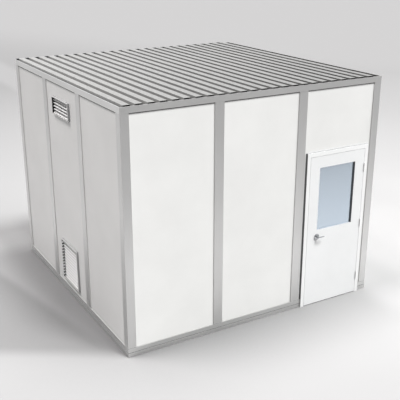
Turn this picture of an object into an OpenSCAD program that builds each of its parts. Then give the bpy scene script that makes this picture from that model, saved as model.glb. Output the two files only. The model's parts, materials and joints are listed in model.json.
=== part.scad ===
// Modular cleanroom: a free-standing room of three by three wall bays.
// Panels stand in a base rail on a floor track, between grooved aluminium posts,
// and a corrugated deck lies on the head rails.
// The front of the room faces -Y, and the floor is the plane z = 0.

/* [Wall panels] */
// Width of a full wall panel
panel_width = 1219.2; // [900:0.1:1500]
// Height of a wall panel
panel_height = 3014; // [2500:1:3600]
// Thickness of a wall panel
panel_thick = 76; // [50:0.5:100]

/* [Posts and rails] */
// Face width of a post between two panels
post_face = 130; // [110:1:160]
// Face width of a corner post
corner_face = 110; // [106:0.5:140]
// Thickness of the flanges of posts and rails
flange = 10; // [6:0.5:14]
// Thickness of the web in the middle of a post
web = 5; // [3:0.5:8]
// Wall of the hollow corner post and of the floor track
tube_wall = 5; // [3:0.5:8]
// Chamfer along the outer edges of posts and fascias
edge_chamfer = 1.5; // [0.5:0.1:3]
// Bevel along the seams of the floor track and the base rail
seam_bevel = 4; // [1:0.5:5]
// Height of the floor track
track_height = 55; // [40:1:80]
// Height of the base rail above the track
rail_height = 62; // [40:1:90]
// Height of the fascia of the head rail
fascia_height = 77.5; // [65:0.5:120]
// Height of the fascia above the seat of the roof deck
upstand = 23; // [12:0.5:30]

/* [Roof deck] */
// Distance between two ribs
rib_pitch = 152.4; // [140:0.1:165]
// Width of the top of a rib
rib_top = 88.9; // [70:0.1:100]
// Sideways run of one sloping side of a rib
rib_slope = 9.5; // [6:0.1:14]
// Depth of the deck
deck_depth = 38.1; // [30:0.1:50]
// Thickness of the deck sheet
deck_sheet = 1.5; // [1:0.1:2.5]
// Least width of the flat strip beside the ribs
strip_least = 25; // [10:1:60]

/* [Door] */
// Width of the door leaf
leaf_width = 914; // [800:1:930]
// Height of the door leaf
leaf_height = 2134; // [1950:1:2300]
// Thickness of the door leaf
leaf_thick = 45; // [40:0.5:55]
// Gap under the door leaf
undercut = 10; // [6:0.5:20]
// Gap between the leaf and its frame
door_gap = 5; // [5:0.1:7]
// Width of wall panel between the post and the frame
door_offset = 32; // [20:1:45]
// Face width of the jambs
jamb_face = 50; // [44:1:56]
// Face height of the frame head
head_face = 56; // [44:1:70]
// Amount that the frame stands out of the posts
frame_proud = 18; // [10:1:30]
// Amount that the stop reaches into the doorway
stop_reach = 16; // [10:1:20]
// Wall of the folded frame section
frame_wall = 4; // [3.5:0.1:6]
// Length of the lips that lap the edge of the wall panel
frame_lip = 12; // [6:0.5:20]

/* [Door window] */
// Width of the leaf around three sides of the window
window_border = 157; // [120:1:200]
// Height of the window
window_height = 882; // [600:1:950]
// Thickness of the glass
glass_thick = 6; // [4:0.5:8]
// Width of the rebate that the glass sits in
rebate = 14; // [10:0.5:20]
// Thickness of the bead behind the glass
bead_thick = 14; // [6:0.5:18]

/* [Hinges and lever] */
// Radius of the hinge knuckles
knuckle_r = 7; // [6:0.1:7.4]
// Radius of the hinge pins
pin_r = 4; // [3:0.1:4.5]
// Height of a hinge
hinge_height = 114; // [90:1:130]
// Distance from the leaf to the axis of the hinges
hinge_out = 8; // [7.8:0.1:10]
// Thickness of the hinge plates
plate = 2; // [1.5:0.1:3]
// Leaf thickness left behind the hinge plates
plate_back = 14; // [8:0.5:20]
// Distance from an end of the leaf to the nearest hinge
hinge_inset = 200; // [150:5:300]
// Height of the cone at each end of a hinge pin
pin_tip = 4; // [2:0.5:8]
// Distance of the lever axis below the window
lever_drop = 91; // [80:1:160]
// Distance from the latch edge of the leaf to the lever axis
backset = 160; // [110:1:180]
// Radius of the rose
rose_r = 42; // [30:0.5:46]
// Thickness of the rose
rose_thick = 14; // [10:0.5:16]
// Width of the rounded edge of the rose
rose_round = 10; // [3:0.5:10]
// Length of the lever from its axis to the tip
lever_length = 100; // [95:1:130]
// Radius of the lever bar at its axis
lever_r = 9; // [7:0.5:10]
// Radius of the lever bar at its tip
tip_r = 7; // [5:0.5:7]
// Radius of the lever neck
neck_r = 11; // [10.5:0.5:13]
// Radius of the collar of the neck on the rose
collar_r = 17; // [14:0.5:22]
// Height of the collar
collar_height = 8; // [4:0.5:12]
// Distance from the rose to the axis of the lever bar
lever_out = 31; // [28:1:45]

/* [Louvres] */
// Width of the louvres
louvre_width = 594; // [500:1:700]
// Height of the upper louvre
upper_height = 238; // [200:1:300]
// Height of the lower grille
lower_height = 606; // [450:1:700]
// Distance from the panel head down to the middle of the upper louvre
upper_drop = 351; // [260:1:500]
// Distance from the base rail up to the middle of the lower grille
lower_rise = 371; // [360:1:600]
// Amount that the louvres stand out of the panel
louvre_proud = 28; // [8:1:34]
// Width of the louvre rim
louvre_rim = 12; // [10:0.5:20]
// Bevel on the outer edge of the louvre rim
rim_bevel = 3; // [1:0.5:6]
// Thickness of the sleeve through the wall
sleeve = 3; // [2:0.5:5]
// Blades of the upper louvre
upper_blades = 5; // [4:1:6]
// Blades of the lower grille
lower_blades = 13; // [10:1:14]
// Most depth of a blade
blade_depth = 58; // [30:1:62]
// Slope of a blade
blade_slope = 30; // [25:1:40]
// Thickness of a blade
blade_thick = 2.5; // [1.5:0.1:4]
// Height of the lip that hangs from the outer edge of a blade
blade_lip = 3; // [2:0.5:6]
// Distance of the blades behind the front of the rim
blade_setback = 18; // [1:0.5:26]

/* [Fits] */
// Gap between a panel and the flanges that hold it
panel_clear = 1; // [0.5:0.1:2]
// Gap between the edge of a panel and the web of a post
edge_clear = 2.5; // [1:0.1:5]
// Gap between the top of a panel and the head rail
head_clear = 2; // [1:0.1:4]
// Gap between two pieces that butt
butt = 0.5; // [0.3:0.1:1]
// Gap around a hinge pin or the lever neck
running = 0.08; // [0.05:0.01:0.1]
// Gap around the lever neck where it passes through the leaf
bore_clear = 1; // [0.5:0.1:2]
// Gap between the deck and the fascias around it
deck_clear = 2; // [1:0.5:4]

/* [Hidden] */
$fn = 48;
overrun = 1;
arc_step = 15;

// Plan of one side, measured from the left end of the wall as seen from outside
// A bay takes a full panel, or the door with a strip of panel on each side where that is wider
wall_depth = panel_thick + 2 * panel_clear + 2 * flange;
frame_width = leaf_width + 2 * door_gap + 2 * jamb_face;
panel_bay = panel_width + web + 2 * edge_clear - post_face;
bay = max(panel_bay, frame_width + 2 * door_offset);
pitch = bay + post_face;
side = 2 * corner_face + 3 * bay + 2 * post_face;
post_1 = corner_face + bay + post_face / 2;
post_2 = post_1 + pitch;
panel_face = flange + panel_clear;
corner_grip = corner_face - wall_depth - panel_clear;

// Heights
rail_top = track_height + rail_height;
panel_z = track_height + tube_wall;
panel_top = panel_z + panel_height;
seat_z = panel_top + head_clear + tube_wall;
fascia_top = seat_z + upstand;
fascia_z = fascia_top - fascia_height;

// Places of the door in the front wall
frame_left = post_2 + post_face / 2 + door_offset;
frame_right = frame_left + frame_width;
leaf_left = frame_left + jamb_face + door_gap;
leaf_right = leaf_left + leaf_width;
leaf_top = undercut + leaf_height;
head_z = leaf_top + door_gap;
frame_top = head_z + head_face;
leaf_front = -frame_proud;
leaf_back = leaf_front + leaf_thick;
stop_front = leaf_back + door_gap;
stop_edge = jamb_face + stop_reach;
frame_back = wall_depth + frame_proud;
throat_front = panel_face + frame_lip;
throat_back = panel_face + panel_thick - frame_lip;
window_width = leaf_width - 2 * window_border;
window_top = leaf_top - window_border;
window_z = window_top - window_height;
glass_front = leaf_back - bead_thick - glass_thick;

// Hinges and lever
pin_x = leaf_right + door_gap / 2;
pin_y = leaf_front - hinge_out;
hinge_z = [
    undercut + hinge_inset,
    undercut + leaf_height / 2 - hinge_height / 2,
    leaf_top - hinge_inset - hinge_height
];
knuckle = hinge_height / 5;
plate_length = hinge_out + leaf_thick - plate_back;
lever_x = leaf_left + backset;
lever_y = leaf_front + leaf_thick / 2;
lever_z = window_z - lever_drop;
rose_out = leaf_thick / 2 + rose_thick;
bar_out = rose_out + lever_out;
front_reach = bar_out + lever_r - lever_y;

// Louvres
vent_x = side / 2;
upper_z = panel_top - upper_drop;
lower_z = rail_top + lower_rise;
rim_front = panel_face - louvre_proud;
vent_width = louvre_width - 2 * louvre_rim;

// Roof
sheet_count = 4;
deck_edge = flange + deck_clear;
deck_length = side - 2 * deck_edge;
rib_count = floor((deck_length - strip_least) / rib_pitch);
closure_left = deck_edge + rib_count * rib_pitch;
closure_width = side - deck_edge - closure_left;

// Ribs to the left of a sheet; the ribs are shared out between the sheets
function ribs_before(number) = floor(rib_count * (number - 1) / sheet_count);

// Places of the four walls
module at_front() {
    translate([-side / 2, -side / 2 + front_reach / 2, 0])
        children();
}

module at_left() {
    translate([-side / 2, side / 2 + front_reach / 2, 0])
        rotate([0, 0, -90])
            children();
}

module at_right() {
    translate([side / 2, -side / 2 + front_reach / 2, 0])
        rotate([0, 0, 90])
            children();
}

module at_back() {
    translate([side / 2, side / 2 + front_reach / 2, 0])
        rotate([0, 0, 180])
            children();
}

// A section in wall depth and height, drawn out along the wall
module along(from, to) {
    translate([from, 0, 0])
        rotate([90, 0, 90])
            linear_extrude(height = to - from)
                children();
}

// Cuts both ends of a rail to forty-five degrees
module mitred() {
    reach = wall_depth + overrun;
    difference() {
        children();
        for (end = [0, 1])
            translate([end * side, 0, -overrun])
                mirror([end, 0, 0])
                    translate([butt / 2, 0, 0])
                        linear_extrude(height = fascia_top + 2 * overrun)
                            polygon([[-overrun, -overrun], [reach, reach], [-overrun, reach]]);
    }
}

// A rectangle whose two lower corners are cut off
module eased(width, height, cut = edge_chamfer) {
    polygon([
        [0, cut],
        [cut, 0],
        [width - cut, 0],
        [width, cut],
        [width, height],
        [0, height]
    ]);
}

// A hollow box section with bevels on both sides of its top
module track_section() {
    difference() {
        translate([0, track_height])
            mirror([0, 1])
                eased(wall_depth, track_height, seam_bevel);
        translate([tube_wall, tube_wall])
            square([wall_depth - 2 * tube_wall, track_height - 2 * tube_wall]);
    }
}

// An upright channel that the panels and posts stand in, bevelled at the top and the bottom
module base_section() {
    difference() {
        intersection() {
            translate([0, track_height])
                eased(wall_depth, rail_height, seam_bevel);
            translate([0, rail_top])
                mirror([0, 1])
                    eased(wall_depth, rail_height, seam_bevel);
        }
        translate([flange, panel_z])
            square([wall_depth - 2 * flange, rail_height]);
    }
}

// A channel over the panel heads, with a fascia that hides the deck edge
module head_section() {
    translate([0, fascia_top])
        rotate(-90)
            eased(fascia_height, flange);
    translate([0, seat_z - tube_wall])
        square([wall_depth, tube_wall]);
    translate([wall_depth - flange, fascia_z])
        square([flange, seat_z - fascia_z]);
}

module floor_track() {
    color("#a9abad")
        mitred()
            along(0, side)
                track_section();
}

module head_rail() {
    color("#a9abad")
        mitred()
            along(0, side)
                head_section();
}

module base_rail() {
    color("#a9abad")
        mitred()
            along(0, side)
                base_section();
}

// Leaves out the width of the door frame
module door_break() {
    difference() {
        children();
        translate([frame_left - butt, -overrun, -overrun])
            cube([
                frame_width + 2 * butt,
                wall_depth + 2 * overrun,
                rail_top + 2 * overrun
            ]);
    }
}

// A post with a groove for a panel on each side
module wall_post(middle) {
    color("#b4b6b8")
        translate([middle, 0, rail_top])
            linear_extrude(height = fascia_z - rail_top) {
                for (face = [0, 1])
                    translate([-post_face / 2, face * wall_depth])
                        mirror([0, face])
                            eased(post_face, flange);
                translate([-web / 2, flange / 2])
                    square([web, wall_depth - flange]);
            }
}

module wall_posts() {
    wall_post(post_1);
    wall_post(post_2);
}

// A square tube with lips that hold the end panels of two walls
module corner_post() {
    color("#b4b6b8")
        translate([0, 0, rail_top])
            linear_extrude(height = fascia_z - rail_top)
                difference() {
                    union() {
                        square(wall_depth);
                        for (turn = [0, 1])
                            mirror([turn, -turn])
                                for (y = [0, wall_depth - flange])
                                    translate([0, y])
                                        square([corner_face, flange]);
                    }
                    translate([tube_wall, tube_wall])
                        square(wall_depth - 2 * tube_wall);
                    polygon([
                        [-overrun, -overrun],
                        [edge_chamfer + overrun, -overrun],
                        [-overrun, edge_chamfer + overrun]
                    ]);
                }
}

// A slab of wall between two places along the wall
module panel(from, to, bottom, top) {
    translate([from, panel_face, bottom])
        cube([to - from, panel_thick, top - bottom]);
}

module panel_1() {
    panel(corner_face - corner_grip, post_1 - web / 2 - edge_clear, panel_z, panel_top);
}

module panel_2() {
    panel(post_1 + web / 2 + edge_clear, post_2 - web / 2 - edge_clear, panel_z, panel_top);
}

module panel_3() {
    panel(post_2 + web / 2 + edge_clear, side - corner_face + corner_grip, panel_z, panel_top);
}

module floor_track_front() {
    at_front()
        door_break()
            floor_track();
}

module floor_track_left() {
    at_left()
        floor_track();
}

module floor_track_right() {
    at_right()
        floor_track();
}

module floor_track_back() {
    at_back()
        floor_track();
}

module base_rails_front() {
    at_front()
        door_break()
            base_rail();
}

module base_rails_left() {
    at_left()
        base_rail();
}

module base_rails_right() {
    at_right()
        base_rail();
}

module base_rails_back() {
    at_back()
        base_rail();
}

module corner_post_front_left() {
    at_front()
        corner_post();
}

module corner_post_front_right() {
    at_right()
        corner_post();
}

module corner_post_back_left() {
    at_left()
        corner_post();
}

module corner_post_back_right() {
    at_back()
        corner_post();
}

module posts_front() {
    at_front()
        wall_posts();
}

module posts_left() {
    at_left()
        wall_posts();
}

module posts_right() {
    at_right()
        wall_posts();
}

module posts_back() {
    at_back()
        wall_posts();
}

module front_panels() {
    color("#eeeeec")
        at_front() {
            panel_1();
            panel_2();
        }
}

module door_header_panel() {
    color("#eeeeec")
        at_front()
            panel(
                post_2 + web / 2 + edge_clear,
                side - corner_face + corner_grip,
                frame_top,
                panel_top
            );
}

module door_side_panels() {
    color("#eeeeec")
        at_front() {
            panel(
                post_2 + web / 2 + edge_clear,
                frame_left - butt,
                panel_z,
                frame_top - butt
            );
            panel(
                frame_right + butt,
                side - corner_face + corner_grip,
                panel_z,
                frame_top - butt
            );
        }
}

module left_plain_panels() {
    color("#eeeeec")
        at_left() {
            panel_1();
            panel_3();
        }
}

// The hole that the sleeve of a louvre passes through
module vent_hole(middle_z, height) {
    w = vent_width + 2 * sleeve + 2 * butt;
    h = height - 2 * louvre_rim + 2 * sleeve + 2 * butt;
    translate([vent_x - w / 2, panel_face - overrun, middle_z - h / 2])
        cube([w, panel_thick + 2 * overrun, h]);
}

module left_vent_panel() {
    color("#eeeeec")
        at_left()
            difference() {
                panel_2();
                vent_hole(upper_z, upper_height);
                vent_hole(lower_z, lower_height);
            }
}

module right_panels() {
    color("#eeeeec")
        at_right() {
            panel_1();
            panel_2();
            panel_3();
        }
}

module back_panels() {
    color("#eeeeec")
        at_back() {
            panel_1();
            panel_2();
            panel_3();
        }
}

module head_rail_front() {
    at_front()
        head_rail();
}

module head_rail_left() {
    at_left()
        head_rail();
}

module head_rail_right() {
    at_right()
        head_rail();
}

module head_rail_back() {
    at_back()
        head_rail();
}

// One corrugated sheet; its ribs run from the front to the back
module roof_sheet(number) {
    first = ribs_before(number);
    ribs = ribs_before(number + 1) - first;
    width = ribs * rib_pitch;
    half_flat = (rib_pitch - rib_top - 2 * rib_slope) / 2;
    rise = deck_depth - deck_sheet;
    bend = deck_sheet * tan(atan2(rise, rib_slope) / 2);
    upper = [
        for (i = [0 : ribs - 1])
            for (p = [
                [half_flat, deck_sheet],
                [half_flat + rib_slope, deck_depth],
                [half_flat + rib_slope + rib_top, deck_depth],
                [half_flat + 2 * rib_slope + rib_top, deck_sheet]
            ])
                [p[0] + i * rib_pitch, p[1]]
    ];
    lower = [
        for (i = [ribs - 1 : -1 : 0])
            for (p = [
                [half_flat + 2 * rib_slope + rib_top - bend, 0],
                [half_flat + rib_slope + rib_top - bend, rise],
                [half_flat + rib_slope + bend, rise],
                [half_flat + bend, 0]
            ])
                [p[0] + i * rib_pitch, p[1]]
    ];
    outline = concat(
        [[butt / 2, 0], [butt / 2, deck_sheet]],
        upper,
        [[width - butt / 2, deck_sheet], [width - butt / 2, 0]],
        lower
    );
    color("#d4d5d4")
        at_front()
            translate([deck_edge + first * rib_pitch, side - deck_edge, seat_z])
                rotate([90, 0, 0])
                    linear_extrude(height = deck_length)
                        polygon(outline);
}

module roof_sheet_1() {
    roof_sheet(1);
}

module roof_sheet_2() {
    roof_sheet(2);
}

module roof_sheet_3() {
    roof_sheet(3);
}

module roof_sheet_4() {
    roof_sheet(4);
}

// A flat strip with a turned-up edge that fills the deck beside the right fascia
module roof_side_closure() {
    color("#d4d5d4")
        at_front()
            translate([closure_left + butt, side - deck_edge, seat_z])
                rotate([90, 0, 0])
                    linear_extrude(height = deck_length) {
                        square([closure_width - butt, deck_sheet]);
                        translate([closure_width - deck_sheet - butt, 0])
                            square([deck_sheet, upstand - deck_clear]);
                    }
}

// Pockets that the hinge plates are let into
module hinge_pockets(x) {
    for (z = hinge_z)
        translate([x, leaf_front - overrun, z - butt])
            cube([
                plate,
                overrun + leaf_thick - plate_back + butt,
                hinge_height + 2 * butt
            ]);
}

// A folded jamb with a face, a stop and lips; it is open towards the wall panel
module jamb_section() {
    difference() {
        polygon([
            [0, leaf_front],
            [jamb_face, leaf_front],
            [jamb_face, stop_front],
            [stop_edge, stop_front],
            [stop_edge, frame_back],
            [0, frame_back]
        ]);
        polygon([
            [frame_wall, leaf_front + frame_wall],
            [jamb_face - frame_wall, leaf_front + frame_wall],
            [jamb_face - frame_wall, stop_front + frame_wall],
            [stop_edge - frame_wall, stop_front + frame_wall],
            [stop_edge - frame_wall, frame_back - frame_wall],
            [frame_wall, frame_back - frame_wall]
        ]);
        translate([-overrun, throat_front])
            square([frame_wall + 2 * overrun, throat_back - throat_front]);
    }
}

module door_jamb_latch() {
    color("#f2f2f0")
        at_front()
            translate([frame_left, 0, 0])
                linear_extrude(height = head_z)
                    jamb_section();
}

module door_jamb_hinge() {
    color("#f2f2f0")
        at_front()
            difference() {
                translate([frame_right, 0, 0])
                    linear_extrude(height = head_z)
                        mirror([1, 0])
                            jamb_section();
                hinge_pockets(frame_right - jamb_face);
            }
}

// The folded head lies on both jambs and is open towards the header panel
module door_frame_head() {
    inset = stop_edge + butt;
    color("#f2f2f0")
        at_front() {
            along(frame_left, frame_right)
                difference() {
                    translate([leaf_front, head_z])
                        square([frame_back - leaf_front, head_face]);
                    translate([leaf_front + frame_wall, head_z + frame_wall])
                        square([
                            frame_back - leaf_front - 2 * frame_wall,
                            head_face - 2 * frame_wall
                        ]);
                    translate([throat_front, head_z + head_face - frame_wall - overrun])
                        square([throat_back - throat_front, frame_wall + 2 * overrun]);
                }
            along(frame_left + inset, frame_right - inset)
                difference() {
                    translate([stop_front, head_z - stop_reach])
                        square([frame_back - stop_front, stop_reach + frame_wall / 2]);
                    translate([stop_front + frame_wall, head_z - stop_reach + frame_wall])
                        square([frame_back - stop_front - 2 * frame_wall, stop_reach]);
                }
        }
}

// Every second knuckle of one hinge, with the plate that carries them
module hinge_half(x, first) {
    for (z = hinge_z)
        difference() {
            union() {
                translate([x, pin_y, z])
                    cube([plate, plate_length, hinge_height]);
                for (i = [first : 2 : 4])
                    translate([pin_x, pin_y, z + i * knuckle])
                        cylinder(r = knuckle_r, h = knuckle);
            }
            for (i = [0 : 4])
                if ((i - first) % 2 != 0)
                    translate([pin_x, pin_y, z + i * knuckle - butt])
                        cylinder(r = knuckle_r + butt, h = knuckle + 2 * butt);
            translate([pin_x, pin_y, z - overrun])
                cylinder(r = pin_r + running, h = hinge_height + 2 * overrun);
        }
}

module hinge_frame_leaves() {
    color("#e6e6e4")
        at_front()
            hinge_half(frame_right - jamb_face, 0);
}

module hinge_door_leaves() {
    color("#e6e6e4")
        at_front()
            hinge_half(leaf_right - plate, 1);
}

module hinge_pins() {
    color("#c4c6c8")
        at_front()
            for (z = hinge_z) {
                translate([pin_x, pin_y, z])
                    cylinder(r = pin_r, h = hinge_height);
                translate([pin_x, pin_y, z + hinge_height])
                    cylinder(r1 = knuckle_r, r2 = pin_r, h = pin_tip);
                translate([pin_x, pin_y, z - pin_tip])
                    cylinder(r1 = pin_r, r2 = knuckle_r, h = pin_tip);
            }
}

module door_leaf() {
    color("#f2f2f0")
        at_front()
            difference() {
                translate([leaf_left, leaf_front, undercut])
                    cube([leaf_width, leaf_thick, leaf_height]);
                translate([leaf_left + window_border, leaf_front - overrun, window_z])
                    cube([window_width, leaf_thick + 2 * overrun, window_height]);
                translate([leaf_left + window_border - rebate, glass_front, window_z - rebate])
                    cube([window_width + 2 * rebate, leaf_thick, window_height + 2 * rebate]);
                translate([lever_x, leaf_back + overrun, lever_z])
                    rotate([90, 0, 0])
                        cylinder(r = neck_r + bore_clear, h = leaf_thick + 2 * overrun);
                hinge_pockets(leaf_right - plate);
            }
}

module door_glass() {
    color("#b9c5d1", 0.6)
        at_front()
            translate([
                leaf_left + window_border - rebate + panel_clear,
                glass_front,
                window_z - rebate
            ])
                cube([
                    window_width + 2 * rebate - 2 * panel_clear,
                    glass_thick,
                    window_height + 2 * rebate - panel_clear
                ]);
}

module glazing_bead() {
    color("#f2f2f0")
        at_front()
            translate([0, glass_front + glass_thick, 0])
                difference() {
                    translate([leaf_left + window_border - rebate, 0, window_z - rebate])
                        cube([
                            window_width + 2 * rebate,
                            bead_thick,
                            window_height + 2 * rebate
                        ]);
                    translate([leaf_left + window_border, -overrun, window_z])
                        cube([window_width, bead_thick + 2 * overrun, window_height]);
                }
}

// Draws a piece on both sides of the leaf, its axis pointing out of the door
module on_both_sides() {
    at_front()
        translate([lever_x, lever_y, lever_z])
            for (turn = [90, -90])
                rotate([turn, 0, 0])
                    children();
}

// Two round roses, each with a rounded edge
module lever_roses() {
    color("#c9cbcd")
        on_both_sides()
            rotate_extrude()
                polygon(concat(
                    [[neck_r + running, leaf_thick / 2], [rose_r, leaf_thick / 2]],
                    [
                        for (a = [0 : arc_step : 90])
                            [
                                rose_r - rose_round * (1 - cos(a)),
                                rose_out - rose_round * (1 - sin(a))
                            ]
                    ],
                    [[neck_r + running, rose_out]]
                ));
}

// The neck of one lever, with a collar on the rose and a domed end
module lever_neck() {
    collar_z = rose_out + butt;
    rotate_extrude()
        polygon(concat(
            [
                [0, 0],
                [neck_r, 0],
                [neck_r, collar_z],
                [collar_r, collar_z],
                [neck_r, collar_z + collar_height]
            ],
            [for (a = [0 : arc_step : 90]) [neck_r * cos(a), bar_out + lever_r * sin(a)]]
        ));
}

// The tapering bar of one lever, with a round tip
module lever_bar() {
    rotate_extrude()
        polygon(concat(
            [[0, 0], [lever_r, 0]],
            [for (a = [0 : arc_step : 90]) [tip_r * cos(a), lever_length - tip_r * (1 - sin(a))]]
        ));
}

// Both levers on one spindle
module door_lever() {
    color("#d6d8da") {
        on_both_sides()
            lever_neck();
        at_front()
            for (out = [-bar_out, bar_out])
                translate([lever_x, lever_y + out, lever_z])
                    rotate([0, 90, 0])
                        lever_bar();
    }
}

// A flat rim with a bevel around its outer edge, as the section across one of its sides
module rim_section(length) {
    polygon([
        [panel_face, -length / 2],
        [rim_front + rim_bevel, -length / 2],
        [rim_front, rim_bevel - length / 2],
        [rim_front, length / 2 - rim_bevel],
        [rim_front + rim_bevel, length / 2],
        [panel_face, length / 2]
    ]);
}

// A bevelled rim on the outside of the wall and a sleeve through it
module vent_frame(middle_z, height) {
    h = height - 2 * louvre_rim;
    color("#dcdedf")
        at_left()
            translate([vent_x, 0, middle_z])
                difference() {
                    union() {
                        intersection() {
                            along(-louvre_width / 2, louvre_width / 2)
                                rim_section(height);
                            translate([0, 0, -height / 2])
                                linear_extrude(height = height)
                                    mirror([1, -1])
                                        rim_section(louvre_width);
                        }
                        translate([-vent_width / 2 - sleeve, panel_face - overrun, -h / 2 - sleeve])
                            cube([
                                vent_width + 2 * sleeve,
                                panel_thick + overrun,
                                h + 2 * sleeve
                            ]);
                    }
                    translate([-vent_width / 2, rim_front - overrun, -h / 2])
                        cube([vent_width, louvre_proud + panel_thick + 2 * overrun, h]);
                }
}

// Sloping blades; a lip hangs from the outer edge, which is the lower one
// A blade is as deep as its share of the height leaves room for
module vent_blades(middle_z, height, count) {
    h = height - 2 * louvre_rim;
    step = h / count;
    thick = blade_thick / cos(blade_slope);
    room = step - thick - blade_lip - 2 * butt;
    depth = min(blade_depth, room / tan(blade_slope));
    drop = depth * tan(blade_slope);
    low = (step - drop - thick + blade_lip) / 2;
    color("#e4e5e6")
        at_left()
            translate([vent_x, rim_front + blade_setback, middle_z - h / 2])
                for (i = [0 : count - 1])
                    translate([0, 0, i * step + low])
                        along(-vent_width / 2, vent_width / 2)
                            polygon([
                                [0, -blade_lip],
                                [blade_thick, -blade_lip],
                                [blade_thick, blade_thick * tan(blade_slope)],
                                [depth, drop],
                                [depth, drop + thick],
                                [0, thick]
                            ]);
}

module louvre_frame() {
    vent_frame(upper_z, upper_height);
}

module louvre_blades() {
    vent_blades(upper_z, upper_height, upper_blades);
}

module return_grille_frame() {
    vent_frame(lower_z, lower_height);
}

module return_grille_blades() {
    vent_blades(lower_z, lower_height, lower_blades);
}

floor_track_front();
floor_track_left();
floor_track_right();
floor_track_back();
base_rails_front();
base_rails_left();
base_rails_right();
base_rails_back();
corner_post_front_left();
corner_post_front_right();
corner_post_back_left();
corner_post_back_right();
posts_front();
posts_left();
posts_right();
posts_back();
front_panels();
door_header_panel();
door_side_panels();
left_plain_panels();
left_vent_panel();
right_panels();
back_panels();
head_rail_front();
head_rail_left();
head_rail_right();
head_rail_back();
roof_sheet_1();
roof_sheet_2();
roof_sheet_3();
roof_sheet_4();
roof_side_closure();
door_jamb_latch();
door_jamb_hinge();
door_frame_head();
hinge_frame_leaves();
hinge_pins();
door_leaf();
door_glass();
glazing_bead();
hinge_door_leaves();
lever_roses();
door_lever();
louvre_frame();
louvre_blades();
return_grille_frame();
return_grille_blades();
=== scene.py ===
import json
import math

import bmesh
import bpy
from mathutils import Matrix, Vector


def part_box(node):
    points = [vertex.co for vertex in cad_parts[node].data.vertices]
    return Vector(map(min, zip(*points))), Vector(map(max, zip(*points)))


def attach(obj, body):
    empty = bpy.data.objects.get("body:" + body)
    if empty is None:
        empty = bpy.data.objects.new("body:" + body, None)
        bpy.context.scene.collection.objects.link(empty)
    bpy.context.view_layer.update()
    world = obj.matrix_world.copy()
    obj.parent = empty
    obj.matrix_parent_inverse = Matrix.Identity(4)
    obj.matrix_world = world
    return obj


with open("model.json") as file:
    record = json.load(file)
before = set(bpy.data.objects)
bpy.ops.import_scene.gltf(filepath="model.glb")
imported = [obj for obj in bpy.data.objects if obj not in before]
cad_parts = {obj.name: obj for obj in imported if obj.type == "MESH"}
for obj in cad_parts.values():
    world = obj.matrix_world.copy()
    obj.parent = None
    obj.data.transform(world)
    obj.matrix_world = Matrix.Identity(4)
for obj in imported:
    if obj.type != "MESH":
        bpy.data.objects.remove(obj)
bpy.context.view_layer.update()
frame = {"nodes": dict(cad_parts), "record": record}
nodes = frame["nodes"]
print("frame loaded,", len(nodes), "CAD nodes")

scene = bpy.context.scene
scene.view_settings.view_transform = "Standard"


def linear(hexColour):
    # sRGB hex to the linear colour that Blender's sockets take
    parts = [int(hexColour[i:i + 2], 16) / 255 for i in (1, 3, 5)]
    return tuple(c / 12.92 if c <= 0.04045 else ((c + 0.055) / 1.055) ** 2.4 for c in parts) + (1.0,)


def addNode(tree, kind, values=None, feeds=None, **settings):
    # one node: its settings, the values of its sockets, and the sockets that feed it
    node = tree.nodes.new(kind)
    for name, value in settings.items():
        setattr(node, name, value)
    for name, value in (values or {}).items():
        node.inputs[name].default_value = value
    for name, socket in (feeds or {}).items():
        tree.links.new(socket, node.inputs[name])
    return node


def newMaterial(name):
    material = bpy.data.materials.new(name)
    material.use_nodes = True
    material.node_tree.nodes.clear()
    return material, material.node_tree


# extruded aluminium, satin anodised: a soft metal grey that mirrors the floor dimly,
# with faint draw lines along its length and slow tone changes along a bar
aluminium = {
    "pale": "#e8e8e7",
    "deep": "#dcdcdb",
    "roughness": (0.34, 0.46),
    "lineSpacing": 2.5,       # mm between draw lines, coarser than real ones so that they show
    "lineLength": 700,        # mm
    "clouds": 900,            # mm across one slow change of tone
    "toneRange": (0.12, 0.42),          # of lines times clouds, from the deep tone to the pale one
    "bump": 0.06,
    "bumpDepth": 0.0005,      # m
}

# the fascias of the side walls: the same bars, a little brighter as painted light
paintedLightAluminium = dict(aluminium, pale="#f5f5f4", deep="#e9e9e8")


def extrudedAluminium(name, axis, look=aluminium):
    material, tree = newMaterial(name)
    place = addNode(tree, "ShaderNodeTexCoord")
    fine = [1000 / look["lineSpacing"]] * 3
    fine[axis] = 1000 / look["lineLength"]
    along = addNode(tree, "ShaderNodeMapping", {"Scale": fine}, {"Vector": place.outputs["Object"]})
    lines = addNode(tree, "ShaderNodeTexNoise", {"Scale": 1.0, "Detail": 3.0, "Roughness": 0.6},
                    {"Vector": along.outputs["Vector"]})
    clouds = addNode(tree, "ShaderNodeTexNoise", {"Scale": 1000 / look["clouds"], "Detail": 2.0},
                     {"Vector": place.outputs["Object"]})
    both = addNode(tree, "ShaderNodeMath", {}, {0: lines.outputs["Fac"], 1: clouds.outputs["Fac"]},
                   operation="MULTIPLY")
    share = addNode(tree, "ShaderNodeMapRange",
                    {"From Min": look["toneRange"][0], "From Max": look["toneRange"][1]},
                    {"Value": both.outputs["Value"]})
    colour = addNode(tree, "ShaderNodeMix", {6: linear(look["deep"]), 7: linear(look["pale"])},
                     {0: share.outputs["Result"]}, data_type="RGBA")
    rough = addNode(tree, "ShaderNodeMapRange",
                    {"To Min": look["roughness"][0], "To Max": look["roughness"][1]},
                    {"Value": lines.outputs["Fac"]})
    relief = addNode(tree, "ShaderNodeBump", {"Strength": look["bump"], "Distance": look["bumpDepth"]},
                     {"Height": lines.outputs["Fac"]})
    skin = addNode(tree, "ShaderNodeBsdfPrincipled", {"Metallic": 1.0},
                   {"Base Color": colour.outputs[2], "Roughness": rough.outputs["Result"],
                    "Normal": relief.outputs["Normal"]})
    addNode(tree, "ShaderNodeOutputMaterial", {}, {"Surface": skin.outputs["BSDF"]})
    return material


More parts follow.
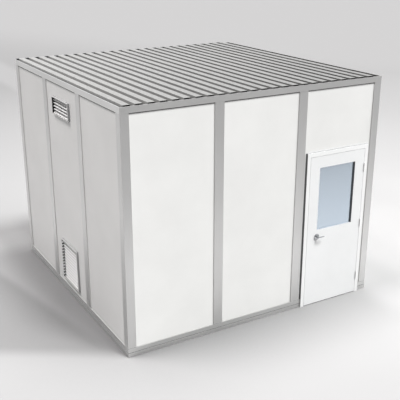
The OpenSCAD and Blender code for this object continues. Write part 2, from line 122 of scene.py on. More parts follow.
# roll-coated steel sheet, satin white: near white, with the slow waviness of a laminated face
# and a very fine orange peel that only softens the gloss
panelSheet = {
    "clean": "#f5f5f3",
    "dull": "#efefed",
    "roughness": (0.38, 0.50),
    "clouds": 650,            # mm across one patch
    "peel": 4.0,              # mm across one dimple, coarser than real so that it shows
    "wave": 380,              # mm from crest to crest of the laminated face
    "peelBump": 0.03,
    "waveBump": 0.05,
    "waveDepth": 0.004,       # m
}

# powder coat over steel on the door and its frame: a shade whiter and a little glossier
doorCoat = {
    "clean": "#f9fafa",
    "dull": "#f4f5f5",
    "roughness": (0.32, 0.42),
    "clouds": 500,
    "peel": 3.0,
    "wave": 600,
    "peelBump": 0.04,
    "waveBump": 0.02,
    "waveDepth": 0.002,
}

# the frame and the hinges have the same coat, cleaner than on the leaf that is touched every day
frameCoat = dict(doorCoat, clean="#fefefe", dull="#fafbfa")

# the same powder coat on the pressed blades of both vents and on their clips
louvreCoat = dict(doorCoat, clean="#fcfcfb", dull="#f5f5f4", roughness=(0.34, 0.46), clouds=160,
                  peel=2.5, wave=300, peelBump=0.05,
                  inner="#505051")      # painted shade where the blades reach into the duct

# the rim of the louvre: the same coat in a light grey, which sets the blades off, with a film of dust and
# painted shade on top
rimCoat = dict(louvreCoat, clean="#d9d9d8", dull="#d0d0cf", roughness=(0.36, 0.48), clouds=200, dustAndShade="#cacac9")

# the rim of the return grille: whiter, as painted light on its shaded front, with more dust and painted shade
# on top
grilleRimCoat = dict(rimCoat, clean="#eaeae9", dull="#e2e2e1", dustAndShade="#b4b4b2")

coatRange = (0.3, 0.7)        # of the noise, from the dull patches to the clean ones
peelDepth = 0.0004            # m
dustAndShadeFacing = (0.6, 0.9)       # how far a face looks up, from no dust and painted shade to all of it


def settleDustAndShade(tree, place, colour, dustAndShade):
    # a film of dust and painted shade over a colour, on what faces up
    facing = addNode(tree, "ShaderNodeSeparateXYZ", {}, {"Vector": place.outputs["Normal"]})
    share = addNode(tree, "ShaderNodeMapRange", {"From Min": dustAndShadeFacing[0], "From Max": dustAndShadeFacing[1]},
                    {"Value": facing.outputs["Z"]}, interpolation_type="SMOOTHSTEP")
    return addNode(tree, "ShaderNodeMix", {7: linear(dustAndShade)},
                   {0: share.outputs["Result"], 6: colour.outputs[2]}, data_type="RGBA")


def coatedSteel(name, look, shade=None):
    # shade: the two places along X, in m, between which painted shade turns the coat into its inner tone
    material, tree = newMaterial(name)
    place = addNode(tree, "ShaderNodeTexCoord")
    clouds = addNode(tree, "ShaderNodeTexNoise",
                     {"Scale": 1000 / look["clouds"], "Detail": 4.0, "Roughness": 0.55},
                     {"Vector": place.outputs["Object"]})
    share = addNode(tree, "ShaderNodeMapRange", {"From Min": coatRange[0], "From Max": coatRange[1]},
                    {"Value": clouds.outputs["Fac"]})
    colour = addNode(tree, "ShaderNodeMix", {6: linear(look["dull"]), 7: linear(look["clean"])},
                     {0: share.outputs["Result"]}, data_type="RGBA")
    rough = addNode(tree, "ShaderNodeMapRange",
                    {"To Min": look["roughness"][1], "To Max": look["roughness"][0]},
                    {"Value": clouds.outputs["Fac"]})
    if shade:
        # painted shade on the blades, darker the deeper behind their front
        across = addNode(tree, "ShaderNodeSeparateXYZ", {}, {"Vector": place.outputs["Object"]})
        depth = addNode(tree, "ShaderNodeMapRange", {"From Min": shade[0], "From Max": shade[1]},
                        {"Value": across.outputs["X"]}, interpolation_type="SMOOTHSTEP")
        colour = addNode(tree, "ShaderNodeMix", {7: linear(look["inner"])},
                         {0: depth.outputs["Result"], 6: colour.outputs[2]}, data_type="RGBA")
    if "dustAndShade" in look:
        colour = settleDustAndShade(tree, place, colour, look["dustAndShade"])
    peel = addNode(tree, "ShaderNodeTexNoise", {"Scale": 1000 / look["peel"], "Detail": 2.0},
                   {"Vector": place.outputs["Object"]})
    wave = addNode(tree, "ShaderNodeTexNoise", {"Scale": 1000 / look["wave"], "Detail": 1.0},
                   {"Vector": place.outputs["Object"]})
    broad = addNode(tree, "ShaderNodeBump",
                    {"Strength": look["waveBump"], "Distance": look["waveDepth"]},
                    {"Height": wave.outputs["Fac"]})
    relief = addNode(tree, "ShaderNodeBump", {"Strength": look["peelBump"], "Distance": peelDepth},
                     {"Height": peel.outputs["Fac"], "Normal": broad.outputs["Normal"]})
    skin = addNode(tree, "ShaderNodeBsdfPrincipled", {"IOR": 1.5},
                   {"Base Color": colour.outputs[2], "Roughness": rough.outputs["Result"],
                    "Normal": relief.outputs["Normal"]})
    addNode(tree, "ShaderNodeOutputMaterial", {}, {"Surface": skin.outputs["BSDF"]})
    return material


# hot-dip galvanised steel deck: a dull zinc grey broken into spangle crystals, with faint roll marks along
# the ribs, a pale bloom here and there, dust and painted shade in the flutes, painted shade on the steep sides
# that draws the ribs as stripes, and painted shade that darkens the sheets towards the right and the front
zinc = {
    "bright": "#a4a4a3",
    "grey": "#989897",
    "bloom": "#a3a3a1",
    "bloomPatch": 1100,       # mm
    "bloomRange": (0.45, 0.75),         # of the noise, from no bloom to most
    "bloomMost": 0.6,
    "dustAndShade": "#7c7b78",        # dust and painted shade in the flutes
    "dustAndShadeShare": 0.9,
    "dustAndShadeDepth": (0.003, 0.018),        # m over the foot of a sheet, from the most dust and painted shade to none
    "side": "#555452",        # painted shade on the steep sides of the ribs
    "sideShare": (0.0, 0.88),           # on the first sheet and on the last one
    "sideRange": (0.3, 0.8),  # how steep a face is, from a top to a side
    "shadeAcross": (-1.8, 1.4, 0.8),         # m along X, and how far painted shade darkens the sheets from left to right
    "shadeToFront": (-1.85, 0.8, 0.88),    # m along Y, and how far painted shade darkens them towards the front edge
    "spangle": 22,            # mm across one crystal
    "rollMarks": 6,           # mm between marks
    "marksAlong": 1.5,        # changes of a mark in a metre of its length
    "bump": 0.08,
    "bumpDepth": 0.0006,      # m
    "roughness": (0.36, 0.56),
    "metallic": 0.35,         # zinc under a dull oxide
}


def galvanisedDeck(look=zinc):
    material, tree = newMaterial("galvanisedDeckSteel")
    place = addNode(tree, "ShaderNodeTexCoord")
    crystals = addNode(tree, "ShaderNodeTexVoronoi",
                       {"Scale": 1000 / look["spangle"], "Randomness": 1.0},
                       {"Vector": place.outputs["Object"]}, feature="F1")
    tone = addNode(tree, "ShaderNodeSeparateColor", {}, {"Color": crystals.outputs["Color"]})
    patches = addNode(tree, "ShaderNodeTexNoise", {"Scale": 1000 / look["bloomPatch"], "Detail": 5.0},
                      {"Vector": place.outputs["Object"]})
    along = addNode(tree, "ShaderNodeMapping",
                    {"Scale": (1000 / look["rollMarks"], look["marksAlong"], 1000 / look["rollMarks"])},
                    {"Vector": place.outputs["Object"]})
    marks = addNode(tree, "ShaderNodeTexNoise", {"Scale": 1.0, "Detail": 2.0},
                    {"Vector": along.outputs["Vector"]})
    metalTone = addNode(tree, "ShaderNodeMix", {6: linear(look["grey"]), 7: linear(look["bright"])},
                        {0: tone.outputs["Red"]}, data_type="RGBA")
    bloomShare = addNode(tree, "ShaderNodeMapRange",
                         {"From Min": look["bloomRange"][0], "From Max": look["bloomRange"][1],
                          "To Max": look["bloomMost"]},
                         {"Value": patches.outputs["Fac"]})
    colour = addNode(tree, "ShaderNodeMix", {7: linear(look["bloom"])},
                     {0: bloomShare.outputs["Result"], 6: metalTone.outputs[2]}, data_type="RGBA")
    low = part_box("roof_sheet_1")[0]
    spot = addNode(tree, "ShaderNodeSeparateXYZ", {}, {"Vector": place.outputs["Object"]})
    # dust and painted shade low in the flutes
    dustAndShade = addNode(tree, "ShaderNodeMapRange",
                   {"From Min": low.z + look["dustAndShadeDepth"][0], "From Max": low.z + look["dustAndShadeDepth"][1],
                    "To Min": look["dustAndShadeShare"], "To Max": 0.0}, {"Value": spot.outputs["Z"]})
    colour = addNode(tree, "ShaderNodeMix", {7: linear(look["dustAndShade"])},
                     {0: dustAndShade.outputs["Result"], 6: colour.outputs[2]}, data_type="RGBA")
    # painted shade on the steep sides of the ribs
    facing = addNode(tree, "ShaderNodeSeparateXYZ", {}, {"Vector": place.outputs["Normal"]})
    steep = addNode(tree, "ShaderNodeMath", {}, {0: facing.outputs["X"]}, operation="ABSOLUTE")
    left, right, dull = look["shadeAcross"]
    most = addNode(tree, "ShaderNodeMapRange",
                   {"From Min": left, "From Max": right,
                    "To Min": look["sideShare"][0], "To Max": look["sideShare"][1]},
                   {"Value": spot.outputs["X"]})
    side = addNode(tree, "ShaderNodeMapRange",
                   {"From Min": look["sideRange"][0], "From Max": look["sideRange"][1]},
                   {"Value": steep.outputs["Value"], "To Max": most.outputs["Result"]},
                   interpolation_type="SMOOTHSTEP")
    colour = addNode(tree, "ShaderNodeMix", {7: linear(look["side"])},
                     {0: side.outputs["Result"], 6: colour.outputs[2]}, data_type="RGBA")
    # painted shade that darkens the sheets towards the right and towards the front
    dim = addNode(tree, "ShaderNodeMapRange",
                  {"From Min": left, "From Max": right, "To Min": 1.0, "To Max": dull},
                  {"Value": spot.outputs["X"]})
    front, back, dull = look["shadeToFront"]
    dimFront = addNode(tree, "ShaderNodeMapRange",
                       {"From Min": front, "From Max": back, "To Min": dull, "To Max": 1.0},
                       {"Value": spot.outputs["Y"]})
    dim = addNode(tree, "ShaderNodeMath", {}, {0: dim.outputs["Result"], 1: dimFront.outputs["Result"]},
                  operation="MULTIPLY")
    colour = addNode(tree, "ShaderNodeVectorMath", {},
                     {0: colour.outputs[2], "Scale": dim.outputs["Value"]}, operation="SCALE")
    rough = addNode(tree, "ShaderNodeMapRange",
                    {"To Min": look["roughness"][0], "To Max": look["roughness"][1]},
                    {"Value": tone.outputs["Green"]})
    relief = addNode(tree, "ShaderNodeBump", {"Strength": look["bump"], "Distance": look["bumpDepth"]},
                     {"Height": marks.outputs["Fac"]})
    skin = addNode(tree, "ShaderNodeBsdfPrincipled", {"Metallic": look["metallic"]},
                   {"Base Color": colour.outputs["Vector"], "Roughness": rough.outputs["Result"],
                    "Normal": relief.outputs["Normal"]})
    addNode(tree, "ShaderNodeOutputMaterial", {}, {"Surface": skin.outputs["BSDF"]})
    return material


# float glass with a reflective film, as on a door between a bright and a dim room:
# it mirrors the pale floor in a cool blue and passes little of the room behind it
glassLook = {
    "film": "#ccd9e5",
    "filmThin": "#d2dee9",
    "clouds": 700,            # mm across a change in the film
    "roughness": 0.03,
    "mirror": 0.9,
    "transmission": 0.5,
}


def filmedGlass(look=glassLook):
    material, tree = newMaterial("filmedGlass")
    place = addNode(tree, "ShaderNodeTexCoord")
    clouds = addNode(tree, "ShaderNodeTexNoise", {"Scale": 1000 / look["clouds"], "Detail": 1.0},
                     {"Vector": place.outputs["Object"]})
    colour = addNode(tree, "ShaderNodeMix", {6: linear(look["film"]), 7: linear(look["filmThin"])},
                     {0: clouds.outputs["Fac"]}, data_type="RGBA")
    skin = addNode(tree, "ShaderNodeBsdfPrincipled",
                   {"Metallic": look["mirror"], "Roughness": look["roughness"],
                    "Transmission Weight": look["transmission"]},
                   {"Base Color": colour.outputs[2]})
    addNode(tree, "ShaderNodeOutputMaterial", {}, {"Surface": skin.outputs["BSDF"]})
    return material


# stainless steel, satin brushed: the lever and its roses, a mid grey metal with soft streaks
stainless = {
    "pale": "#c6c8ca",
    "deep": "#aeb0b2",
    "roughness": (0.16, 0.26),
    "brush": 1.6,             # mm across a streak
    "streak": 25,             # mm along it
    "bump": 0.08,
    "bumpDepth": 0.0002,      # m
}
# zinc-plated screws and latch plates: duller than the lever
screwZinc = dict(stainless, pale="#c9cacb", deep="#b2b4b5", roughness=(0.3, 0.45), brush=1.2, bump=0.1)


def brushedSteel(name, look):
    material, tree = newMaterial(name)
    place = addNode(tree, "ShaderNodeTexCoord")
    grain = addNode(tree, "ShaderNodeMapping",
                    {"Scale": (1000 / look["brush"], 1000 / look["brush"], 1000 / look["streak"])},
                    {"Vector": place.outputs["Object"]})
    streaks = addNode(tree, "ShaderNodeTexNoise", {"Scale": 1.0, "Detail": 3.0},
                      {"Vector": grain.outputs["Vector"]})
    colour = addNode(tree, "ShaderNodeMix", {6: linear(look["deep"]), 7: linear(look["pale"])},
                     {0: streaks.outputs["Fac"]}, data_type="RGBA")
    rough = addNode(tree, "ShaderNodeMapRange",
                    {"To Min": look["roughness"][0], "To Max": look["roughness"][1]},
                    {"Value": streaks.outputs["Fac"]})
    relief = addNode(tree, "ShaderNodeBump", {"Strength": look["bump"], "Distance": look["bumpDepth"]},
                     {"Height": streaks.outputs["Fac"]})
    skin = addNode(tree, "ShaderNodeBsdfPrincipled", {"Metallic": 1.0},
                   {"Base Color": colour.outputs[2], "Roughness": rough.outputs["Result"],
                    "Normal": relief.outputs["Normal"]})
    addNode(tree, "ShaderNodeOutputMaterial", {}, {"Surface": skin.outputs["BSDF"]})
    return material


# rubber gaskets: a dull dark grey, slightly bloomed where it has been touched, which draws thin dark lines
rubber = {
    "dark": "#2b2c2d",
    "worn": "#3d3e3f",
    "roughness": (0.55, 0.8),
    "patch": 60,              # mm across one bloom
    "grain": 1.5,             # mm
    "bump": 0.12,
    "bumpDepth": 0.0003,      # m
}
# a mid grey rubber beside the door frame, around the window and on the stop of the door; beside the frame and
# around the window its grey stands in for shade
greyRubber = dict(rubber, dark="#78797a", worn="#868788", roughness=(0.5, 0.75), bump=0.1)
# a light grey rubber under the rim of the louvre, whose grey stands in for the shade on the rim's sides
rimRubber = dict(greyRubber, dark="#b0b1b2", worn="#bcbdbe")
# a paler one, with dust and painted shade on top, under the rim of the return grille and over the door frame
dustShadedRubber = dict(rimRubber, dark="#c6c7c8", worn="#d0d1d2", dustAndShade="#a2a3a3")
# closed-cell glazing tape on the window sill: a soft light grey, which stands in for the soft shade on the
# sill
paleTape = dict(greyRubber, dark="#c0c2c5", worn="#cacccf", roughness=(0.6, 0.8), patch=90, grain=2.0)
# the dark felt lining: painted shade that makes the sleeves read as open ducts, also in the mouth of the
# strike plate
shadeFeltLook = dict(rubber, worn="#363738", roughness=(0.7, 0.9), patch=90, grain=3.0, bump=0.2)


def moulded(name, look):
    material, tree = newMaterial(name)
    place = addNode(tree, "ShaderNodeTexCoord")
    patches = addNode(tree, "ShaderNodeTexNoise", {"Scale": 1000 / look["patch"], "Detail": 4.0},
                      {"Vector": place.outputs["Object"]})
    grain = addNode(tree, "ShaderNodeTexNoise", {"Scale": 1000 / look["grain"], "Detail": 2.0},
                    {"Vector": place.outputs["Object"]})
    colour = addNode(tree, "ShaderNodeMix", {6: linear(look["dark"]), 7: linear(look["worn"])},
                     {0: patches.outputs["Fac"]}, data_type="RGBA")
    if "dustAndShade" in look:
        colour = settleDustAndShade(tree, place, colour, look["dustAndShade"])
    rough = addNode(tree, "ShaderNodeMapRange",
                    {"To Min": look["roughness"][0], "To Max": look["roughness"][1]},
                    {"Value": patches.outputs["Fac"]})
    relief = addNode(tree, "ShaderNodeBump", {"Strength": look["bump"], "Distance": look["bumpDepth"]},
                     {"Height": grain.outputs["Fac"]})
    skin = addNode(tree, "ShaderNodeBsdfPrincipled", {"IOR": 1.52},
                   {"Base Color": colour.outputs[2], "Roughness": rough.outputs["Result"],
                    "Normal": relief.outputs["Normal"]})
    addNode(tree, "ShaderNodeOutputMaterial", {}, {"Surface": skin.outputs["BSDF"]})
    return material


barX = extrudedAluminium("anodisedBarAcross", 0)
barY = extrudedAluminium("anodisedBarDeep", 1)
barZ = extrudedAluminium("anodisedPost", 2)
fasciaY = extrudedAluminium("anodisedFascia", 1, paintedLightAluminium)
panelWhite = coatedSteel("coatedPanelSheet", panelSheet)
doorWhite = coatedSteel("powderCoatDoor", doorCoat)
frameWhite = coatedSteel("powderCoatFrame", frameCoat)
louvreGrey = coatedSteel("powderCoatLouvreFrame", rimCoat)
grilleGrey = coatedSteel("powderCoatGrilleFrame", grilleRimCoat)
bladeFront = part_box("louvre_blades")[0].x
upperShade, lowerShade = (0.020, 0.031), (0.011, 0.026)     # m behind that, where painted shade darkens the blades
upperBladeWhite = coatedSteel("powderCoatUpperBlades", louvreCoat, [bladeFront + deep for deep in upperShade])
lowerBladeWhite = coatedSteel("powderCoatLowerBlades", louvreCoat, [bladeFront + deep for deep in lowerShade])
deckZinc = galvanisedDeck()
windowGlass = filmedGlass()
leverSteel = brushedSteel("satinStainless", stainless)
screwSteel = brushedSteel("zincPlatedScrew", screwZinc)
rubberDark = moulded("darkGasketRubber", rubber)
rubberGrey = moulded("greyGasketRubber", greyRubber)
rubberMid = moulded("midGreyRimRubber", rimRubber)
rubberDustShaded = moulded("rimRubberDustAndShade", dustShadedRubber)
tapePale = moulded("paleGlazingTape", paleTape)
shadeFelt = moulded("darkFeltPaintedShade", shadeFeltLook)

finishOfSlot = {
    "post_aluminium": barZ,
    "white_panel": panelWhite,
    "galvanised_deck": deckZinc,
    "white_frame": frameWhite,
    "white_leaf": doorWhite,
    "window_glass": windowGlass,
    "hinge_steel": frameWhite,
    "satin_steel": leverSteel,
    "louvre_rim": louvreGrey,
}
finishOfNode = {
    "head_rail_left": fasciaY,
    "head_rail_right": fasciaY,
    "louvre_blades": upperBladeWhite,
    "return_grille_blades": lowerBladeWhite,
    "return_grille_frame": grilleGrey,
}
for part in frame["record"]["subparts"]:
    node, slot = part["node"], part["material_slot"]
    if node in finishOfNode:
        finish = finishOfNode[node]
    elif slot == "rail_aluminium":      # the draw lines follow the wall
        finish = barX if node.endswith(("front", "back")) else barY
    else:
        finish = finishOfSlot[slot]
    nodes[node].data.materials.clear()
    nodes[node].data.materials.append(finish)
print("materials on the CAD nodes")


def sweep(bm, profile, start, end, out, up):
    # a straight bar: a profile of (out, up) points in mm drawn from start to end, closed at both ends
    rings = []
    for point in (start, end):
        rings.append([bm.verts.new(point + (out * a + up * b) / 1000) for a, b in profile])
    for i in range(len(profile)):
        j = (i + 1) % len(profile)
        bm.faces.new((rings[0][i], rings[0][j], rings[1][j], rings[1][i]))
    bm.faces.new(rings[0])
    bm.faces.new(rings[1])


def lathe(bm, profile, foot, axis, sides):
    # a round or hexagonal piece: a profile of (radius, height) points in mm turned around an axis;
    # a radius of 0 closes its end
    across = axis.orthogonal().normalized()
    other = axis.cross(across)
    rings = []
    for radius, height in profile:
        middle = foot + axis * height / 1000
        spots = 1 if radius == 0 else sides
        turns = [2 * math.pi * i / sides for i in range(spots)]
        rings.append([bm.verts.new(middle + (across * math.cos(t) + other * math.sin(t)) * radius / 1000)
                      for t in turns])
    for lower, upper in zip(rings, rings[1:]):
        for i in range(sides):
            j = (i + 1) % sides
            corners = [lower[i % len(lower)], lower[j % len(lower)],
                       upper[j % len(upper)], upper[i % len(upper)]]
            bm.faces.new(list(dict.fromkeys(corners)))


def addPiece(name, bm, material, body):
    bmesh.ops.recalc_face_normals(bm, faces=bm.faces)
    mesh = bpy.data.meshes.new(name)
    bm.to_mesh(mesh)
    bm.free()
    mesh.materials.append(material)
    obj = bpy.data.objects.new(name, mesh)
    scene.collection.objects.link(obj)
    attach(obj, body)


# the four walls: which way each runs, seen from outside, and which way it faces
walls = {
    "front": (Vector((1, 0, 0)), Vector((0, -1, 0))),
    "left": (Vector((0, -1, 0)), Vector((-1, 0, 0))),
    "right": (Vector((0, 1, 0)), Vector((1, 0, 0))),
    "back": (Vector((-1, 0, 0)), Vector((0, 1, 0))),
}
upward = Vector((0, 0, 1))
roundSides, hexSides = 16, 6  # of what is turned
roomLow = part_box("head_rail_left")[0]
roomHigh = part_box("head_rail_right")[1]
roomHalf = (roomHigh.x - roomLow.x) / 2
roomMiddle = Vector(((roomLow.x + roomHigh.x) / 2, (roomLow.y + roomHigh.y) / 2, 0))


def onWall(side, along, inward, height):
    # a point of a wall: mm from its left end, behind the face of the posts, and over the floor
    run, out = walls[side]
    return (roomMiddle + run * (along / 1000 - roomHalf) + out * (roomHalf - inward / 1000)
            + upward * height / 1000)


# where the posts and the panels between them are, in mm along a wall
roomSide = roomHalf * 2000
cornerFace, postFace = 110, 130
panelFace = 11                # mm behind the face of the posts
bay = (roomSide - 2 * cornerFace - 2 * postFace) / 3
bays = [(cornerFace + i * (bay + postFace), cornerFace + i * (bay + postFace) + bay) for i in range(3)]
postSpans = [(0, bays[0][0]), (bays[0][1], bays[1][0]), (bays[1][1], bays[2][0]), (bays[2][1], roomSide)]


def alongFront(x):
    # mm along the front wall of a place on the X axis
    return (x - roomLow.x) * 1000


def behindFront(y):
    # mm behind the face of the front posts of a place on the Y axis
    return (y - roomMiddle.y + roomHalf) * 1000


doorSpan = [alongFront(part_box("door_jamb_latch")[0].x), alongFront(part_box("door_jamb_hinge")[1].x)]

# the gasket between a panel and the fascia over it: a dark line under the fascia all round the room, a real
# gasket whose dark also stands in for the shade line there
headGasket = {
    "under": roomLow.z * 1000,       # lower edge of the fascia
    "profile": ((0, 0), (6, 0), (7, -1), (7, -8), (6, -9), (3, -9), (0, -6)),
}
bm = bmesh.new()
for side, (run, out) in walls.items():
    for start, end in bays:
        sweep(bm, headGasket["profile"], onWall(side, start, panelFace, headGasket["under"]),
              onWall(side, end, panelFace, headGasket["under"]), out, upward)
addPiece("headGasket", bm, rubberDark, "shell")

# the sealant in the seams of the base: between the track and the rail, and under the foot of each post
baseSeal = {
    "deep": 4,                # mm from the face to the bottom of a seam
    "trackTop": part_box("floor_track_left")[1].z * 1000,
    "railTop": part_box("base_rails_left")[1].z * 1000,
    "trackProfile": ((0, 0), (2.2, -2.2), (2.7, 0), (2.2, 2.2)),
    "postProfile": ((0, 0), (2.6, 0), (2.6, -2.6)),
}
bm = bmesh.new()
for side, (run, out) in walls.items():
    runs = [(0, roomSide)] if side != "front" else [(0, doorSpan[0]), (doorSpan[1], roomSide)]
    for spans, height, profile in ((runs, baseSeal["trackTop"], baseSeal["trackProfile"]),
                                   (postSpans, baseSeal["railTop"], baseSeal["postProfile"])):
        for start, end in spans:
            sweep(bm, profile, onWall(side, start, baseSeal["deep"], height),
                  onWall(side, end, baseSeal["deep"], height), out, upward)
addPiece("baseSeal", bm, rubberDark, "shell")

# the foam strip between the ends of the deck and the fascia around it, whose dark stands in for the shade on
# the inner face of the fascia
deckSeal = {
    "inward": 12,             # mm, edge of the deck
    "seat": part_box("roof_sheet_1")[0].z * 1000,
    "profile": ((0, 0), (1.9, 0), (1.9, 20), (1.0, 20.7), (0, 20)),
}
bm = bmesh.new()
for side, (run, out) in walls.items():
    sweep(bm, deckSeal["profile"],
          onWall(side, deckSeal["inward"], deckSeal["inward"], deckSeal["seat"]),
          onWall(side, roomSide - deckSeal["inward"], deckSeal["inward"], deckSeal["seat"]), out, upward)
addPiece("deckSeal", bm, rubberDark, "shell")

# the gaskets in the corner that the door frame makes with the wall, beside it and over it; the grey one beside
# the frame stands in for the shade in that corner
frameGasket = {
    "bottom": baseSeal["railTop"],
    "top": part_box("door_frame_head")[1].z * 1000,
    "profile": ((0, 0), (24, 0), (24, 0.8), (10, 2), (6, 6), (3, 10), (0, 12)),
    "topBead": ((0, 0), (26, 0), (26, 0.7), (8, 1.5), (3, 6), (0, 9)),
}
bm = bmesh.new()
run, out = walls["front"]
for along, towards in zip(doorSpan, (-1, 1)):
    sweep(bm, frameGasket["profile"], onWall("front", along, panelFace, frameGasket["bottom"]),
          onWall("front", along, panelFace, frameGasket["top"]), out, run * towards)
addPiece("frameGasket", bm, rubberGrey, "shell")
bm = bmesh.new()
sweep(bm, frameGasket["topBead"], onWall("front", doorSpan[0], panelFace, frameGasket["top"]),
      onWall("front", doorSpan[1], panelFace, frameGasket["top"]), out, upward)
addPiece("frameTopBead", bm, rubberDustShaded, "shell")

# the dark lining of painted shade on the sides of the vent sleeves, from just behind the rim to the inside of
# the wall, and the gasket under each rim, a light grey edge where the rim stands off its panel, whose grey
# stands in for the shade on the rim's sides
ventFrames = {
    "gaskets": {
        "louvre_frame": ("louvreGasket", rubberMid),
        "return_grille_frame": ("grilleGasket", rubberDustShaded),
    },
    "rim": 12,                # mm wide, seen from the front
    "behind": 4,              # mm from the front of the rim to the lining
    "lining": 0.6,            # mm thick
    "gasket": ((0, 0), (1.6, 0), (1.6, 17), (0.8, 19), (0, 19)),     # out of the rim's side, and off the panel
}
lining = bmesh.new()
panelSpot = onWall("left", 0, panelFace, 0).x
for node, (name, rubberOf) in ventFrames["gaskets"].items():
    gasket = bmesh.new()
    low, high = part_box(node)
    rim, thick = ventFrames["rim"] / 1000, ventFrames["lining"]
    front = low.x + ventFrames["behind"] / 1000
    for axis in (1, 2):
        other = 3 - axis
        span = (high[other] - low[other]) * 1000 - 2 * ventFrames["rim"]
        inner = ((0, 0), (thick, 0), (thick, span), (0, span))
        across, along = Vector(), Vector()
        across[axis], along[other] = 1, 1
        for edge, towards in ((low[axis], 1), (high[axis], -1)):
            start, end = Vector((front, 0, 0)), Vector((high.x, 0, 0))
            for point in (start, end):
                point[axis], point[other] = edge + towards * rim, low[other] + rim
            if axis == 1:       # only the two sides are lined
                sweep(lining, inner, start, end, across * towards, along)
            start, end = Vector((panelSpot, 0, 0)), Vector((panelSpot, 0, 0))
            start[axis], end[axis] = edge, edge
            start[other], end[other] = low[other], high[other]
            sweep(gasket, ventFrames["gasket"], start, end, across * -towards, Vector((-1, 0, 0)))
    addPiece(name, gasket, rubberOf, "shell")
addPiece("sleeveShadeLining", lining, shadeFelt, "shell")

# the white clips on both ends of the return grille's blades, in line with their slope, up to the rim;
# the lowest blade is too near the rim to have them
bladeClips = {
    "blades": 13,
    "lip": 3,                 # mm that a blade's own lip hangs down
    "length": 30,             # mm along the blade
    "profile": ((0.4, 2.6), (14.6, -5.6), (16.2, -6.8), (16.2, -9.6),
                (14.6, -9.6), (14.6, -7.4), (0.4, 0.8)),
}
low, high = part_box("return_grille_frame")
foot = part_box("return_grille_blades")[0]
edge = (ventFrames["rim"] + ventFrames["lining"]) / 1000
step = (high.z - low.z - 2 * ventFrames["rim"] / 1000) / bladeClips["blades"]
bm = bmesh.new()
for i in range(1, bladeClips["blades"]):
    height = foot.z + i * step + bladeClips["lip"] / 1000
    for spot, towards in ((low.y + edge, 1), (high.y - edge, -1)):
        start = Vector((foot.x, spot, height))
        end = start + Vector((0, towards * bladeClips["length"] / 1000, 0))
        sweep(bm, bladeClips["profile"], start, end, Vector((-1, 0, 0)), upward)
addPiece("bladeClips", bm, lowerBladeWhite, "shell")

# the glazing seals: a grey gasket up both sides and over the top of the window, pale tape on its sill; the
# grey of the gasket stands in for the shade in the reveals, and the grey of the tape for the soft shade on the
# sill
leafLow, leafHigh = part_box("door_leaf")
glassLow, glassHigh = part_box("door_glass")
windowSeal = {
    "rebate": 14,             # mm of glass behind the edge of the opening, on each side
    "behind": 1.5,            # mm from the face of the leaf
    "letIn": 1,               # mm that the gasket goes into the edge of the opening
    "gasket": (2.0, 0.6),     # mm thick, and how far its front edge slopes back
    "tape": (1.2, 0.5),
}


def sealSection(thick, slope):
    return (0, 0), (thick, slope), (thick, sealDepth), (0, sealDepth)


sealDepth = (glassLow.y - leafLow.y) * 1000 - windowSeal["behind"]
sealFace = behindFront(leafLow.y) + windowSeal["behind"]
left = alongFront(glassLow.x) + windowSeal["rebate"] - windowSeal["letIn"]
right = alongFront(glassHigh.x) - windowSeal["rebate"] + windowSeal["letIn"]
sill = glassLow.z * 1000 + windowSeal["rebate"]
top = glassHigh.z * 1000 - windowSeal["rebate"] + windowSeal["letIn"]
run, out = walls["front"]
bm = bmesh.new()
section = sealSection(*windowSeal["gasket"])
for along, towards in ((left, run), (right, -run)):
    sweep(bm, section, onWall("front", along, sealFace, sill), onWall("front", along, sealFace, top),
          towards, -out)
sweep(bm, section, onWall("front", left, sealFace, top), onWall("front", right, sealFace, top), -upward, -out)
addPiece("glazingGasket", bm, rubberGrey, "door")
bm = bmesh.new()
sweep(bm, sealSection(*windowSeal["tape"]), onWall("front", left, sealFace, sill),
      onWall("front", right, sealFace, sill), upward, -out)
addPiece("glazingTape", bm, tapePale, "door")

# the bulb seal on the stop of the door frame, which the leaf closes on
doorSeal = {
    "stopFace": 32,           # mm behind the posts
    "jamb": 50,               # mm from the outside of the frame to the stop
    "stop": 16,               # mm that the stop stands into the doorway
    "foot": 2,                # mm over the floor
    "headGap": 5,             # mm from the top of the leaf to the frame head
    "profile": ((0, 3), (1.2, 3), (3.2, 4.2), (4.3, 6.4), (4.3, 8.6), (3.2, 10.8), (1.2, 12), (0, 12)),
}
headUnder = leafHigh.z * 1000 + doorSeal["headGap"]
bm = bmesh.new()
for along, towards in ((doorSpan[0] + doorSeal["jamb"], run), (doorSpan[1] - doorSeal["jamb"], -run)):
    sweep(bm, doorSeal["profile"], onWall("front", along, doorSeal["stopFace"], doorSeal["foot"]),
          onWall("front", along, doorSeal["stopFace"], headUnder - doorSeal["stop"]), out, towards)
sweep(bm, doorSeal["profile"],
      onWall("front", doorSpan[0] + doorSeal["jamb"], doorSeal["stopFace"], headUnder),
      onWall("front", doorSpan[1] - doorSeal["jamb"], doorSeal["stopFace"], headUnder), out, -upward)
addPiece("doorSeal", bm, rubberGrey, "shell")
print("gaskets and linings")

